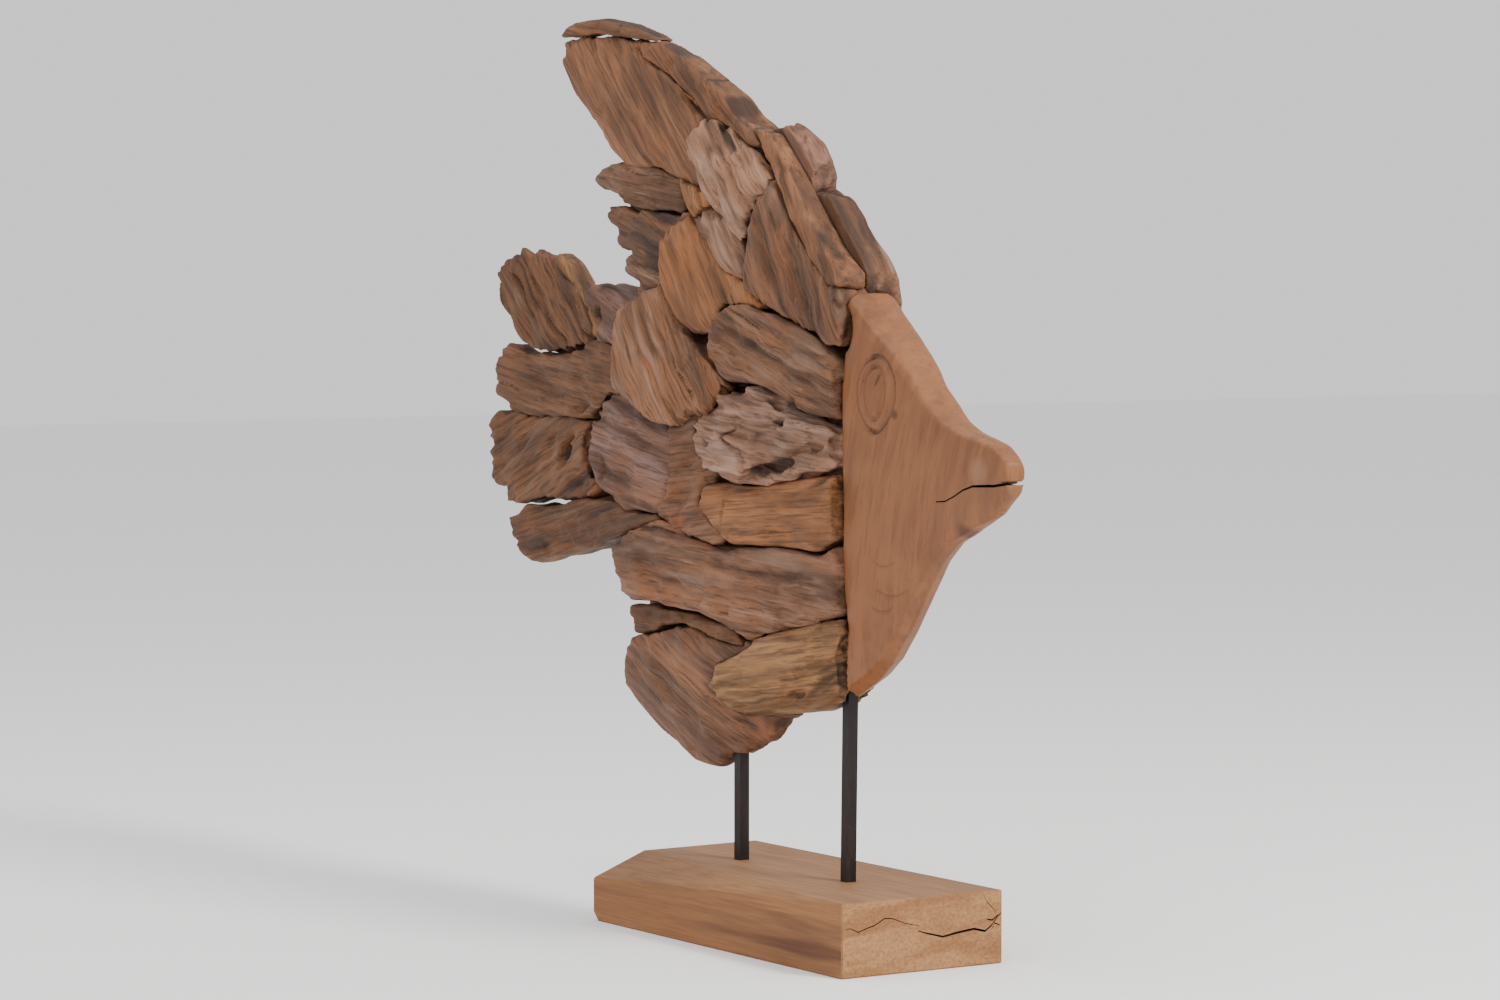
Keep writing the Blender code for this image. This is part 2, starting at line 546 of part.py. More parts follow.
def planks():
    """The fish's pieces. A piece gives way to the ones before it in the list."""
    right, through, left = -1, 0, 1
    crest = -0.003
    return [
        Plank("ridge_strip_lower", right, "tan",
              [(-5.4, 84.4), (-1.6, 83.0), (2.4, 78.2), (6.0, 73.0), (9.6, 68.4), (13.6, 64.6),
               (13.6, 63.4), (10.8, 63.6), (7.0, 67.2), (3.6, 71.8), (1.0, 76.0), (-2.0, 80.0)],
              grain=-49, lift=(0.002, 0.003), back=crest, row=0.012, ridge=0.0006),
        Plank("rounded_block", right, "brown",
              [(-8.1, 61.0), (-10.0, 58.8), (-10.3, 55.6), (-8.8, 53.0), (-7.0, 51.4), (-3.4, 51.4),
               (1.2, 50.5), (7.2, 47.9), (14, 47.0), (14, 53.4), (10.4, 56.0), (4.4, 58.7),
               (-0.3, 60.3), (-4.9, 61.2)],
              grain=-16, lift=(0.006, 0.002), crown=0.005, ridge=0.0012, row=0.017),
        Plank("shoulder_leaf", right, "brown",
              [(-0.1, 77.4), (-2.7, 74.4), (-3.9, 70.5), (-4.7, 66.2), (-4.0, 63.2), (-0.6, 60.9),
               (5.2, 58.9), (10.8, 56.6), (14, 56.4), (14, 62.0), (11.0, 64.4), (8.0, 67.4),
               (5.6, 71.6), (2.6, 75.8)],
              grain=-52, lift=(0.004, 0.001), crown=0.003, ridge=0.0014, row=0.015),
        Plank("driftwood_ribbed", right, "pale",
              [(-13.3, 85.3), (-15.4, 84.0), (-15.4, 80.7), (-13.9, 77.5), (-12.1, 74.4),
               (-9.4, 73.0), (-7.3, 70.8), (-5.2, 69.0), (-4.3, 72.7), (-2.8, 74.9), (-0.2, 77.2),
               (-2.8, 79.4), (-6.5, 82.4), (-10.3, 84.8)],
              grain=-38, lift=(0.005, 0.004), ridge=0.0018, row=0.013),
        Plank("eroded_block", right, "grey",
              [(-13.4, 45.4), (-10.2, 47.8), (-6.9, 49.8), (-3.0, 50.8), (1.0, 49.8), (2.8, 47.6),
               (8.2, 46.6), (14, 45.3), (14, 41.2), (9.2, 40.4), (4.6, 39.9), (-3.0, 38.6),
               (-6.7, 38.8), (-9.6, 40.4), (-12.8, 42.3)],
              grain=-3, lift=(0.004, 0.006), crown=0.003, ridge=0.0024, row=0.014),
        Plank("smooth_block", right, "orange",
              [(-11.6, 37.6), (-7.2, 38.2), (-1.9, 37.9), (7.2, 39.5), (14, 40.4), (14, 32.6),
               (9.8, 30.4), (1.8, 30.5), (-6.2, 30.1), (-8.8, 31.6), (-12.2, 34.7)],
              grain=3, lift=(0.002, 0.004), crown=0.003, row=0.024),
        Plank("fan", right, "orange",
              [(-28.3, 60.3), (-25.5, 61.7), (-21.7, 63.5), (-19.8, 61.7), (-16.6, 58.4),
               (-13.0, 55.6), (-9.7, 52.9), (-7.4, 51.0), (-9.3, 47.8), (-13.5, 46.6),
               (-17.0, 45.2), (-21.8, 46.2), (-26.6, 47.8), (-29.6, 49.4), (-30.6, 52.7),
               (-30.0, 57.9)],
              grain=-48, lift=(0.006, 0.003), ridge=0.0010, row=0.020),
        Plank("orange_wedge", right, "orange",
              [(-21.6, 70.0), (-17.2, 73.0), (-15.2, 71.6), (-10.6, 66.6), (-6.5, 64.7),
               (-4.0, 62.8), (-1.0, 60.0), (-5.0, 59.4), (-8.8, 58.6), (-11.0, 57.4),
               (-13.6, 57.4), (-17.4, 59.2), (-19.4, 61.8), (-21.1, 64.5)],
              grain=-40, lift=(0.001, -0.003), ridge=0.0006, row=0.024),
        Plank("keel_front", through, "pale",
              [(-10.8, 11.4), (-9.2, 14.2), (-4.2, 16.4), (-2.4, 18.1), (4.0, 19.9), (10.1, 21.4),
               (14, 22.3), (14, 15.0), (11.8, 11.4), (8.6, 10.4), (4.8, 9.4), (-1.0, 8.6),
               (-5.8, 8.0), (-9.2, 9.2)],
              grain=6, lift=(0.002, 0.001), crown=0.002, ridge=0.0006, row=0.018),
        Plank("long_slab", right, "brown",
              [(-31.3, 28.3), (-26.8, 31.0), (-20.8, 32.5), (-16.2, 31.2), (-8.8, 29.6),
               (1.8, 29.8), (9.7, 29.6), (14, 31.5), (14, 23.6), (10.8, 22.2), (7.6, 20.8),
               (2.6, 18.8), (-3.7, 17.6), (-6.6, 19.4), (-13.0, 20.9), (-20.0, 21.2),
               (-27.8, 21.2), (-28.6, 23.4), (-30.3, 24.8)],
              grain=-3, lift=(0.001, 0.002), ridge=0.0014, row=0.017),
        Plank("slab_strip", right, "brown",
              [(-27.5, 20.6), (-20.0, 20.6), (-13.0, 20.3), (-6.4, 18.9), (-5.0, 16.9),
               (-11.4, 17.6), (-16.0, 19.1), (-20.4, 18.5), (-22.0, 17.2), (-27.8, 16.8)],
              grain=0, lift=(-0.004, -0.004), row=0.03),
        Plank("keel_rear", through, "brown",
              [(-24.0, 17.0), (-28.4, 16.1), (-30.2, 14.2), (-31.4, 11.3), (-32.0, 8.9),
               (-29.0, 6.2), (-24.8, 3.7), (-21.6, 2.3), (-18.0, 0.3), (-13.4, 0.0), (-10.8, 1.6),
               (-6.6, 3.4), (-3.0, 5.4), (-2.4, 7.6), (2.4, 9.4), (4.6, 12.4), (-3.0, 17.5),
               (-9.0, 17.9), (-15.0, 18.8)],
              grain=-20, lift=(-0.004, -0.007), ridge=0.0008, row=0.024),
        Plank("tail_root", right, "grey",
              [(-36.2, 45.3), (-31.5, 49.0), (-26.0, 48.4), (-20.0, 47.0), (-18.0, 43.0),
               (-18.6, 36.0), (-21.4, 33.2), (-28.0, 33.4), (-33.4, 35.2), (-36.6, 39.6)],
              grain=-12, lift=(0.001, -0.004), ridge=0.0016, row=0.018),
        Plank("dorsal_cap", through, "tan",
              [(-44.8, 97.8), (-43.4, 99.2), (-40.0, 100), (-36.0, 100), (-31.4, 99.0),
               (-27.2, 97.5), (-24.8, 96.2), (-28.0, 96.8), (-33.0, 97.5), (-37.4, 98.0),
               (-41.0, 97.7)],
              grain=-8, lift=(0.003, 0.002), row=0.02),
        Plank("ridge_strip_upper", through, "tan",
              [(-28.6, 96.4), (-25.2, 96.4), (-20.4, 94.2), (-15.0, 91.1), (-10.8, 88.2), (-8.0, 85.4),
               (-4.6, 83.4), (-2.4, 81.3), (-5.2, 81.4), (-8.6, 82.8), (-12.4, 85.0),
               (-17.6, 88.7), (-22.6, 91.9), (-27.4, 94.2)],
              grain=-35, lift=(0.001, 0.001), row=0.012),
        Plank("dorsal_board", through, "tan",
              [(-44.6, 97.3), (-43.8, 95.6), (-44.8, 94.4), (-41.6, 89.7), (-37.6, 86.2), (-33.5, 82.0),
               (-30.2, 79.8), (-24.0, 79.4), (-18.0, 77.6), (-14.0, 76.0), (-11.0, 77.0),
               (-4.0, 80.4), (-10.0, 86.0), (-16.6, 90.9), (-22.5, 94.2), (-28.5, 96.5),
               (-36.0, 97.6)],
              grain=-35, lift=(0.001, -0.005), ridge=0.0008, row=0.03),
        Plank("driftwood_sliver", right, "pale",
              [(-15.4, 72.6), (-12.6, 74.2), (-9.2, 73.0), (-6.6, 70.4), (-4.6, 65.4),
               (-5.6, 64.2), (-9.4, 65.6), (-13.6, 70.0)],
              grain=-48, lift=(0.002, -0.003), ridge=0.0008, row=0.012),
        Plank("driftwood_edge", right, "orange",
              [(-15.0, 84.6), (-18.2, 82.0), (-18.4, 77.0), (-16.4, 73.5), (-13.4, 70.6),
               (-12.0, 73.5), (-13.4, 77.5), (-14.6, 81.0)],
              grain=-62, lift=(0.000, -0.002), row=0.02),
        Plank("shoulder_back", right, "dark",
              [(-7.0, 83.6), (-2.6, 82.4), (1.8, 77.4), (5.0, 71.8), (8.6, 66.4), (5.0, 67.0),
               (1.0, 70.0), (-3.0, 73.0), (-5.0, 68.0), (-6.4, 70.0), (-6.0, 77.0)],
              grain=-46, lift=(-0.007, -0.006), row=0.024),
        Plank("spike_upper", right, "dark",
              [(-37.5, 78.3), (-36.2, 76.7), (-32.9, 76.6), (-32.0, 75.0), (-29.4, 74.4), (-25.0, 73.6),
               (-19.0, 73.0), (-18.0, 79.0), (-23.0, 80.6), (-28.6, 81.2), (-31.6, 79.8),
               (-34.8, 79.8)],
              grain=-14, lift=(-0.006, -0.008), row=0.02),
        Plank("spike_lower", right, "dark",
              [(-35.6, 74.5), (-34.6, 71.8), (-32.4, 71.4), (-32.8, 68.6), (-30.0, 68.2), (-30.5, 65.4),
               (-27.4, 64.2), (-26.4, 60.6), (-20.0, 59.0), (-18.0, 66.0), (-18.0, 73.4),
               (-24.0, 74.6), (-29.0, 73.4), (-31.6, 74.4)],
              grain=-24, lift=(-0.008, -0.008), ridge=0.0008, row=0.018),
        Plank("rear_scrap", right, "brown",
              [(-24.4, 41.5), (-20.4, 45.6), (-12.6, 46.4), (-8.8, 41.0), (-11.0, 37.0),
               (-8.0, 31.0), (-9.0, 29.0), (-17.2, 30.6), (-21.5, 33.5), (-23.0, 37.6)],
              grain=-8, lift=(-0.003, -0.004), ridge=0.0018, row=0.015),
        Plank("tail_bottom", through, "brown",
              [(-55.1, 30.4), (-53.2, 31.2), (-51.2, 32.9), (-43.9, 32.9), (-35.0, 34.4), (-23.5, 35.0),
               (-20.0, 33.0), (-24.0, 30.8), (-29.0, 29.8), (-33.4, 28.3), (-35.2, 27.5),
               (-39.5, 26.9), (-46.5, 25.5), (-49.8, 24.5), (-52.1, 25.0), (-53.0, 26.8),
               (-54.4, 27.6)],
              grain=9, lift=(0.003, 0.001), ridge=0.0008, row=0.022),
        Plank("tail_top", through, "brown",
              [(-52.6, 68.4), (-54.2, 67.2), (-55.0, 67.6), (-56.8, 65.2), (-56.4, 63.8),
               (-57.2, 62.6), (-56.2, 60.2), (-53.8, 58.0), (-53.4, 56.6), (-51.2, 54.8),
               (-45.0, 54.0), (-38.0, 55.4), (-36.4, 58.0),
               (-40.2, 61.8), (-44.2, 65.2), (-46.6, 67.1), (-49.2, 67.5)],
              grain=-43, lift=(0.003, 0.000), ridge=0.0014, row=0.013),
        Plank("tail_low", through, "brown",
              [(-57.9, 45.6), (-59.7, 43.9), (-58.7, 41.4), (-59.6, 39.2), (-58.5, 38.0),
               (-59.2, 36.2), (-57.0, 35.1), (-55.2, 36.2), (-56.3, 32.9), (-52.6, 32.5),
               (-48.0, 34.2), (-42.0, 33.6),
               (-35.0, 35.0), (-33.0, 40.0), (-35.0, 44.9), (-40.0, 45.6), (-47.0, 45.0),
               (-53.5, 45.6)],
              grain=12, lift=(0.002, 0.002), ridge=0.0014, row=0.016),
        Plank("tail_middle", through, "brown",
              [(-57.6, 53.6), (-55.2, 55.4), (-51.8, 53.6), (-46.0, 54.4), (-37.0, 56.5),
               (-30.0, 55.0), (-29.0, 49.0), (-35.0, 45.0), (-41.0, 44.6), (-48.0, 44.0),
               (-54.4, 45.7), (-57.8, 48.0), (-57.0, 49.6), (-58.1, 51.4)],
              grain=-4, lift=(0.000, -0.001), ridge=0.0012, row=0.018),
        Plank("tail_board", through, "tan",
              [(-46.8, 66.8), (-45.4, 68.0), (-43.2, 66.5), (-40.4, 63.2), (-36.8, 60.4),
               (-34.8, 57.2), (-36.4, 56.0), (-40.0, 60.0), (-44.0, 63.6)],
              grain=-45, lift=(-0.004, -0.003), row=0.02),
        Plank("tail_link", through, "grey",
              [(-39.2, 61.6), (-37.6, 63.3), (-34.8, 63.6), (-31.9, 63.0), (-29.0, 61.7),
               (-26.0, 62.5), (-24.0, 58.0), (-28.0, 53.0), (-34.0, 54.5), (-38.0, 58.5)],
              grain=-20, lift=(-0.002, -0.004), row=0.02),
        Plank("left_crest_rear", left, "grey",
              [(-11.6, 83.0), (-9.6, 85.8), (-8.4, 84.9), (-6.9, 85.0), (-5.2, 83.5), (-1.6, 84.0),
               (1.2, 82.3), (3.0, 79.1), (3.2, 76.0), (1.4, 73.6), (-2.0, 71.0), (-8.0, 73.0)],
              grain=-46, lift=(0.003, 0.003), back=crest + GLUE_GAP, row=0.016, ridge=0.0010),
        Plank("left_crest_front", left, "dark",
              [(0.2, 73.6), (3.4, 75.8), (6.5, 75.0), (9.2, 70.8), (11.8, 67.3), (13.2, 64.8),
               (14, 60.0), (9.0, 60.0), (4.0, 63.0), (0.0, 67.0)],
              grain=-50, lift=(0.002, 0.002), back=crest + GLUE_GAP, row=0.018),
        Plank("left_fin_slab", left, "brown",
              [(-33.6, 78.4), (-30.0, 81.4), (-22.0, 80.0), (-12.0, 79.0), (-4.0, 76.0),
               (0.0, 71.0), (-2.0, 66.0), (-9.0, 65.6), (-20.0, 67.0), (-29.0, 68.4),
               (-32.4, 73.0)],
              grain=-26, lift=(0.001, 0.000), ridge=0.0010, row=0.022),
        Plank("left_shoulder", left, "brown",
              [(-9.4, 66.0), (-1.0, 66.6), (5.0, 64.0), (14, 61.0), (14, 51.8), (4.0, 51.4),
               (-6.0, 52.6), (-11.4, 56.0), (-12.6, 61.0)],
              grain=-22, lift=(0.002, 0.001), crown=0.003, row=0.026),
        Plank("left_fan", left, "orange",
              [(-30.6, 58.6), (-27.4, 65.2), (-22.0, 68.0), (-13.0, 66.6), (-11.0, 61.0),
               (-11.0, 54.0), (-15.0, 48.0), (-22.0, 45.6), (-29.0, 47.6), (-31.0, 53.0)],
              grain=-34, lift=(0.003, 0.001), row=0.026),
        Plank("left_middle", left, "grey",
              [(-13.0, 52.0), (-6.0, 54.0), (4.0, 53.0), (14, 52.6), (14, 41.4), (4.0, 40.6),
               (-7.0, 41.2), (-16.0, 43.4), (-18.6, 48.0)],
              grain=-4, lift=(0.002, 0.002), ridge=0.0010, row=0.022),
        Plank("left_low", left, "orange",
              [(-24.6, 43.0), (-16.0, 45.0), (-6.0, 42.6), (14, 42.4), (14, 30.6), (4.0, 29.2),
               (-8.0, 29.8), (-20.0, 32.0), (-25.4, 36.6)],
              grain=2, lift=(0.001, 0.003), row=0.028),
        Plank("left_long_slab", left, "brown",
              [(-30.0, 27.0), (-26.0, 31.6), (-18.0, 33.4), (-8.0, 31.4), (4.0, 30.6), (14, 31.8),
               (14, 21.4), (6.0, 18.4), (-4.0, 15.6), (-16.0, 17.4), (-27.4, 16.8),
               (-28.6, 22.0)],
              grain=-2, lift=(0.001, 0.001), ridge=0.0008, row=0.024),
    ]


def overlaps(a, b):
    a, b = a.box(), b.box()
    return a[0] < b[1] and b[0] < a[1] and a[2] < b[3] and b[2] < a[3]


def rod_ends():
    """The foot and the head of each bar, front and rear."""
    foot = BASE_HEIGHT - BASE_SOCKET_DEPTH
    front_x = SEAM_FOOT_X - 0.014
    front_top = at(0, 11.5)[1] + 0.5 * FISH_SOCKET_DEPTH
    rear_x = at(-10.2, 0)[0]
    rear_top = along(keel_line(), rear_x) + FISH_SOCKET_DEPTH
    return {
        "front_rod": ((front_x, 0.0, foot), (front_x + ROD_LEAN, 0.0, front_top)),
        "rear_rod": ((rear_x, 0.0, foot), (rear_x, 0.0, rear_top)),
    }


def socket(name, foot, head):
    """The room round a bar, with its clearance all round and past its ends."""
    foot, head = Vector(foot), Vector(head)
    along_bar = (head - foot).normalized() * SOCKET_CLEARANCE
    return bar(name, foot - along_bar, head + along_bar, ROD_SIDE + 2 * SOCKET_CLEARANCE, None)


def main():
    clear_scene()
    steel = principled("black_steel", (38, 30, 30), 0.5, 0.6)
    sockets = []
    for name, (foot, head) in rod_ends().items():
        bar(name, foot, head, ROD_SIDE, steel)
        sockets.append(socket(name + "_socket", foot, head))
    base = base_block()
    cut(base, sockets)
    head = head_block()
    grooves = []
    for side in (-1, 1):
        grooves.append(eye_groove(side, (1.0, 1.0), "eye_rim_%d" % side))
        grooves.append(eye_groove(side, (0.54, 0.72), "eye_lid_%d" % side))
    before = before_the_seam()
    cutters = grooves + [behind_the_seam(), mouth_slit(), notch()] + sockets
    cut(head, cutters)
    used = cutters + [before]
    placed = []
    for plank in planks():
        obj = plank.build()
        rooms = [room for other, room in placed if overlaps(other, plank)]
        cut(obj, rooms + [before] + sockets)
        placed.append((plank, plank.cutter()))
    for cutter in used + [room for _, room in placed]:
        if cutter.name in bpy.data.objects:
            bpy.data.objects.remove(cutter, do_unlink=True)


main()
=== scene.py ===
"""The looks of the driftwood fish: weathered pieces cut from the frame's solids, wood, steel and light."""
import math

import bmesh
import bpy
import numpy as np
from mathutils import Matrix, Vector


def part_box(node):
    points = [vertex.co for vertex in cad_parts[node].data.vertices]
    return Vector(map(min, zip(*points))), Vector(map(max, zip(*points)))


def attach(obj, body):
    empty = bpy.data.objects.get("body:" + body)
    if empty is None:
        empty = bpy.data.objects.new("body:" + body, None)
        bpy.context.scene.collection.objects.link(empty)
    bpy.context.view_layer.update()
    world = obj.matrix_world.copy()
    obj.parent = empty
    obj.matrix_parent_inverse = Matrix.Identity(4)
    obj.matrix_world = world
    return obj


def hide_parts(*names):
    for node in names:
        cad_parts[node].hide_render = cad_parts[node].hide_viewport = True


# The fish's own measures, as in the solids: shares of them place each feature.
FISH_LENGTH = 0.900
FISH_HEIGHT = 0.700
FISH_BOTTOM = 0.148
BASE_HEIGHT = 0.065

VOXEL = 0.0022             # the size of the faces of the weathered meshes
HEAD_VOXEL = 0.0018

# The camera, found from the block's right angles in the photograph
CAMERA_PLACE = (3.3825, -2.2278, 0.6200)
CAMERA_TILT = 0.0540
CAMERA_TURN = 0.9991
CAMERA_LENS = 108.0
CAMERA_SHIFT = 0.001


# ---- Colours -------------------------------------------------------------

def linear(rgb):
    """A colour given in 0 to 255 screen values, as the shader wants it."""
    values = [channel / 255.0 for channel in rgb]
    return [v / 12.92 if v <= 0.04045 else ((v + 0.055) / 1.055) ** 2.4 for v in values] + [1.0]


# The middle colour of each kind of wood, then a fresh patch's and a weathered patch's
TONES = {
    "tan": ((126, 82, 53), (138, 84, 48), (120, 92, 70)),
    "brown": ((120, 80, 55), (138, 82, 48), (128, 100, 84)),
    "umber": ((104, 67, 42), (126, 72, 38), (108, 82, 64)),
    "dark": ((106, 70, 47), (134, 84, 52), (124, 98, 82)),
    "orange": ((142, 92, 55), (152, 90, 46), (128, 96, 74)),
    "fan": ((128, 84, 54), (146, 86, 44), (136, 110, 96)),
    "grey": ((136, 98, 76), (126, 78, 50), (150, 122, 108)),
    "mauve": ((112, 76, 58), (124, 76, 46), (124, 98, 92)),
    "pale": ((146, 105, 80), (142, 92, 56), (158, 126, 108)),
    "straw": ((136, 95, 60), (120, 70, 40), (150, 120, 84)),
    "head": ((120, 73, 41), (128, 76, 40), (136, 90, 54)),
}


def scaled(colour, share):
    """A linear colour made lighter or darker."""
    return [share * value for value in colour[:3]] + [1.0]


class Look:
    """How one piece of wood is weathered.

    grain is its direction in the side view, in degrees. The lengths are in
    metres: ridge is the height of the long ridges, pit of the worn pits,
    crack the depth of the drying cracks, and fray how ragged its ends are.
    """

    def __init__(self, tone, grain, ridge=0.0010, pit=0.0006, crack=0.0012, fray=0.002,
                 grey=0.35, fresh=0.35, smooth=4, pitch=0.011):
        self.tone = tone
        self.grain = math.radians(grain)
        self.ridge = ridge
        self.pit = pit
        self.crack = crack
        self.fray = fray
        self.grey = grey
        self.fresh = fresh
        self.smooth = smooth
        self.pitch = pitch


LOOKS = {
    "dorsal_board": Look("tan", -42, 0.0008, 0.0003, 0.0010, 0.0020, grey=0.25, fresh=0.4, smooth=3),
    "dorsal_cap": Look("tan", -8, 0.0010, 0.0005, 0.0012, 0.0020, grey=0.3),
    "ridge_strip_upper": Look("tan", -38, 0.0010, 0.0005, 0.0012, 0.0020, grey=0.2, fresh=0.6),
    "ridge_strip_lower": Look("tan", -56, 0.0008, 0.0004, 0.0008, 0.0015, grey=0.45, fresh=0.1),
    "driftwood_ribbed": Look("pale", -45, 0.0030, 0.0008, 0.0024, 0.0060, grey=0.6, fresh=0.1, pitch=0.009),
    "driftwood_sliver": Look("pale", -50, 0.0024, 0.0006, 0.0018, 0.0040, grey=0.5, fresh=0.15, pitch=0.008),
    "driftwood_edge": Look("orange", -62, 0.0008, 0.0004, 0.0010, 0.0020, grey=0.2),
    "shoulder_back": Look("brown", -50, 0.0010, 0.0006, 0.0012, 0.0020, grey=0.2),
    "shoulder_leaf": Look("dark", -58, 0.0022, 0.0008, 0.0026, 0.0030, grey=0.3, fresh=0.65, pitch=0.012),
    "spike_upper": Look("dark", -8, 0.0018, 0.0008, 0.0018, 0.0050, grey=0.25, fresh=0.2),
    "spike_lower": Look("dark", -14, 0.0018, 0.0008, 0.0018, 0.0055, grey=0.25, fresh=0.2),
    "orange_wedge": Look("orange", -52, 0.0013, 0.0004, 0.0012, 0.0045, grey=0.12, fresh=0.6, pitch=0.007),
    "fan": Look("fan", -52, 0.0018, 0.0005, 0.0014, 0.0050, grey=0.45, fresh=0.5, pitch=0.010),
    "rounded_block": Look("dark", -18, 0.0018, 0.0006, 0.0020, 0.0020, grey=0.4, fresh=0.45, smooth=5, pitch=0.009),
    "eroded_block": Look("grey", -6, 0.0044, 0.0020, 0.0036, 0.0070, grey=0.6, fresh=0.15, smooth=3, pitch=0.013),
    "rear_scrap": Look("brown", 8, 0.0024, 0.0014, 0.0020, 0.0030, grey=0.2, fresh=0.7),
    "smooth_block": Look("orange", 4, 0.0007, 0.0003, 0.0012, 0.0015, grey=0.1, fresh=0.6),
    "long_slab": Look("brown", -4, 0.0020, 0.0014, 0.0022, 0.0040, grey=0.45, fresh=0.4, pitch=0.008),
    "slab_strip": Look("umber", 0, 0.0016, 0.0010, 0.0018, 0.0040, grey=0.3),
    "keel_front": Look("straw", 8, 0.0014, 0.0008, 0.0014, 0.0040, grey=0.35, fresh=0.45, pitch=0.007),
    "keel_rear": Look("brown", -24, 0.0012, 0.0006, 0.0010, 0.0020, grey=0.25, fresh=0.45, smooth=6, pitch=0.020),
    "tail_root": Look("mauve", -10, 0.0024, 0.0012, 0.0018, 0.0040, grey=0.45, fresh=0.25),
    "tail_top": Look("umber", -45, 0.0022, 0.0006, 0.0018, 0.0055, grey=0.3, fresh=0.3, pitch=0.006),
    "tail_board": Look("straw", -48, 0.0004, 0.0002, 0.0006, 0.0015, grey=0.05, fresh=0.1),
    "tail_link": Look("mauve", -20, 0.0016, 0.0008, 0.0014, 0.0030, grey=0.4),
    "tail_middle": Look("umber", -8, 0.0020, 0.0008, 0.0018, 0.0050, grey=0.2, fresh=0.4, pitch=0.009),
    "tail_low": Look("umber", 22, 0.0026, 0.0010, 0.0020, 0.0055, grey=0.15, fresh=0.6, pitch=0.012),
    "tail_bottom": Look("umber", 12, 0.0018, 0.0008, 0.0018, 0.0050, grey=0.25, fresh=0.4, pitch=0.009),
    "left_crest_rear": Look("mauve", -48, 0.0022, 0.0010, 0.0020, 0.0050, grey=0.6, fresh=0.1),
    "left_crest_front": Look("dark", -52, 0.0016, 0.0008, 0.0014, 0.0030, grey=0.4, fresh=0.2),
    "left_fin_slab": Look("brown", -28, 0.0016, 0.0008, 0.0016, 0.0040),
    "left_shoulder": Look("dark", -22, 0.0014, 0.0006, 0.0014, 0.0020),
    "left_fan": Look("orange", -36, 0.0014, 0.0005, 0.0014, 0.0040),
    "left_middle": Look("mauve", -4, 0.0018, 0.0008, 0.0018, 0.0030, grey=0.5),
    "left_low": Look("orange", 2, 0.0008, 0.0005, 0.0012, 0.0015, fresh=0.6),
    "left_long_slab": Look("brown", -3, 0.0016, 0.0008, 0.0018, 0.0035),
}

# Hollows worn or cut into one piece: place in hundredths of the fish's length
# and height, length, width and depth in metres, and direction in degrees.
HOLLOWS = {
    "tail_low": [(-40.8, 40.6, 0.046, 0.022, 0.012, 50), (-44.6, 42.4, 0.030, 0.014, 0.005, 30)],
    "tail_link": [(-34.6, 59.3, 0.020, 0.020, 0.011, 0)],
    "tail_middle": [(-38.5, 46.4, 0.050, 0.012, 0.006, 5), (-46.0, 49.0, 0.070, 0.016, 0.003, -20)],
    "tail_root": [(-32.6, 38.6, 0.026, 0.014, 0.006, 80), (-25.0, 44.0, 0.060, 0.018, 0.004, -20)],
    "eroded_block": [(3.4, 47.0, 0.030, 0.020, 0.012, 40), (1.4, 40.6, 0.095, 0.016, 0.012, 14),
                     (8.6, 43.2, 0.080, 0.010, 0.006, 10), (-4.5, 44.6, 0.060, 0.012, 0.006, -18)],
    "rounded_block": [(-5.0, 56.4, 0.060, 0.034, 0.005, -20), (6.0, 52.6, 0.120, 0.010, 0.003, -12)],
    "shoulder_leaf": [(5.5, 64.0, 0.075, 0.016, 0.005, -48), (0.4, 66.5, 0.090, 0.012, 0.004, -62)],
    "long_slab": [(-14.4, 23.4, 0.090, 0.030, 0.005, 0), (-22.0, 25.4, 0.060, 0.034, 0.004, -30),
                  (-7.0, 21.6, 0.034, 0.010, 0.005, -8)],
    "keel_front": [(8.6, 14.6, 0.080, 0.026, 0.006, 8), (4.0, 11.4, 0.030, 0.010, 0.006, 20)],
    "keel_rear": [(-18.5, 9.0, 0.110, 0.040, 0.004, -35)],
    "driftwood_ribbed": [(-7.0, 77.6, 0.110, 0.009, 0.005, -45), (-10.0, 75.6, 0.100, 0.008, 0.004, -45)],
    "tail_top": [(-46.0, 60.0, 0.110, 0.010, 0.005, -45), (-51.0, 62.0, 0.080, 0.008, 0.004, -45)],
    "rear_scrap": [(-14.0, 41.0, 0.060, 0.012, 0.004, 30), (-16.0, 36.0, 0.050, 0.010, 0.003, 10)],
    "smooth_block": [(-6.8, 34.6, 0.030, 0.005, 0.003, 80), (3.0, 32.4, 0.070, 0.003, 0.002, 4)],
    "dorsal_board": [(-15.4, 86.4, 0.110, 0.008, 0.009, -29), (-27.5, 95.0, 0.060, 0.008, 0.007, -14)],
    "fan": [(-12.6, 51.0, 0.050, 0.034, 0.003, -50)],
}


# ---- Noise ---------------------------------------------------------------

def lattice(ix, iy, iz, seed):
    """A repeatable value from -1 to 1 at each whole-numbered point."""
    h = (ix.astype(np.uint32) * np.uint32(374761393) + iy.astype(np.uint32) * np.uint32(668265263)
         + iz.astype(np.uint32) * np.uint32(2246822519) + np.uint32(seed * 97531 % 4294967291))
    h = (h ^ (h >> np.uint32(13))) * np.uint32(1274126177)
    h = (h ^ (h >> np.uint32(15))) * np.uint32(2246822519)
    h = h ^ (h >> np.uint32(16))
    return h.astype(np.float64) / 2147483648.0 - 1.0


